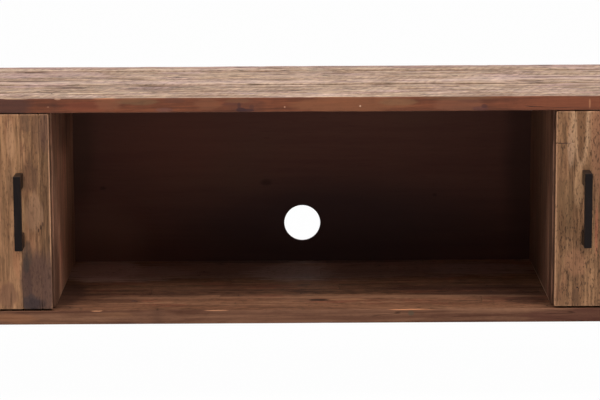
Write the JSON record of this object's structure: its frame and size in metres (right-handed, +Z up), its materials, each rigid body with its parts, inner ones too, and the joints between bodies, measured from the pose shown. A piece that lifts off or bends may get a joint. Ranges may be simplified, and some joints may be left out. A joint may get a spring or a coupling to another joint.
{
  "type": "tv stand",
  "caption": "Low reclaimed-wood TV stand with an open middle bay, a cable hole in its back, hinged side doors with black bar pulls and steel sled legs.",
  "frame": {"origin": "on the floor under the middle of the whole stand, pulls included", "axes": "+X along the length to the right, front facing -Y, +Z up"},
  "size_m": [1.6, 0.449, 0.5],
  "materials": {
    "top_wood": "reclaimed boards, greyed and matt",
    "bottom_wood": "reclaimed boards, brown and matt",
    "upright_wood": "reclaimed boards, dark brown and matt",
    "door_wood": "glued reclaimed strips, waxed",
    "back_wood": "thin dark-stained sheet",
    "dowel_wood": "plain beech",
    "pull_steel": "matt black",
    "leg_steel": "black powder coat",
    "hinge_steel": "black, slightly worn",
    "zinc_steel": "zinc plated",
    "magnet": "nickel plated",
    "black_plastic": "moulded black",
    "bumper_rubber": "soft, cloudy",
    "glide_felt": "pressed felt"
  },
  "bodies": {
    "carcass": {"top_board_1": "top_wood", "top_board_2": "top_wood", "top_board_3": "top_wood", "top_board_4": "top_wood", "top_board_5": "top_wood", "bottom_board_1": "bottom_wood", "bottom_board_2": "bottom_wood", "bottom_board_3": "bottom_wood", "bottom_board_4": "bottom_wood", "back_panel": "back_wood", "carcass_dowels": "dowel_wood", "back_panel_screws": "zinc_steel", "hinge_side_screws": "hinge_steel", "catch_screws": "zinc_steel", "leg_screws": "zinc_steel", "runner_end_caps": "black_plastic", "floor_glides": "glide_felt", "left_side_panel": "upright_wood", "left_divider": "upright_wood", "left_upper_hinge_side_leaf": "hinge_steel", "left_lower_hinge_side_leaf": "hinge_steel", "left_upper_hinge_pin": "hinge_steel", "left_lower_hinge_pin": "hinge_steel", "left_catch_housing": "black_plastic", "left_catch_magnet": "magnet", "left_leg_plate": "leg_steel", "left_leg_front_post": "leg_steel", "left_leg_rear_post": "leg_steel", "left_leg_runner": "leg_steel", "right_side_panel": "upright_wood", "right_divider": "upright_wood", "right_upper_hinge_side_leaf": "hinge_steel", "right_lower_hinge_side_leaf": "hinge_steel", "right_upper_hinge_pin": "hinge_steel", "right_lower_hinge_pin": "hinge_steel", "right_catch_housing": "black_plastic", "right_catch_magnet": "magnet", "right_leg_plate": "leg_steel", "right_leg_front_post": "leg_steel", "right_leg_rear_post": "leg_steel", "right_leg_runner": "leg_steel"},
    "left_door": {"left_door_panel": "door_wood", "left_pull": "pull_steel", "left_pull_screws": "zinc_steel", "left_upper_hinge_door_leaf": "hinge_steel", "left_lower_hinge_door_leaf": "hinge_steel", "left_hinge_door_screws": "hinge_steel", "left_door_bumpers": "bumper_rubber", "left_strike_plate": "zinc_steel", "left_strike_screw": "zinc_steel"},
    "right_door": {"right_door_panel": "door_wood", "right_pull": "pull_steel", "right_pull_screws": "zinc_steel", "right_upper_hinge_door_leaf": "hinge_steel", "right_lower_hinge_door_leaf": "hinge_steel", "right_hinge_door_screws": "hinge_steel", "right_door_bumpers": "bumper_rubber", "right_strike_plate": "zinc_steel", "right_strike_screw": "zinc_steel"}
  },
  "joints": [
    {"name": "left_door_hinge", "type": "hinge", "parent": "carcass", "child": "left_door", "pos_m": [-0.7954, -0.165, 0.3175], "axis": [0, 0, -1], "range_deg": [0, 180]},
    {"name": "right_door_hinge", "type": "hinge", "parent": "carcass", "child": "right_door", "pos_m": [0.7954, -0.165, 0.3175], "axis": [0, 0, 1], "range_deg": [0, 180]}
  ]
}
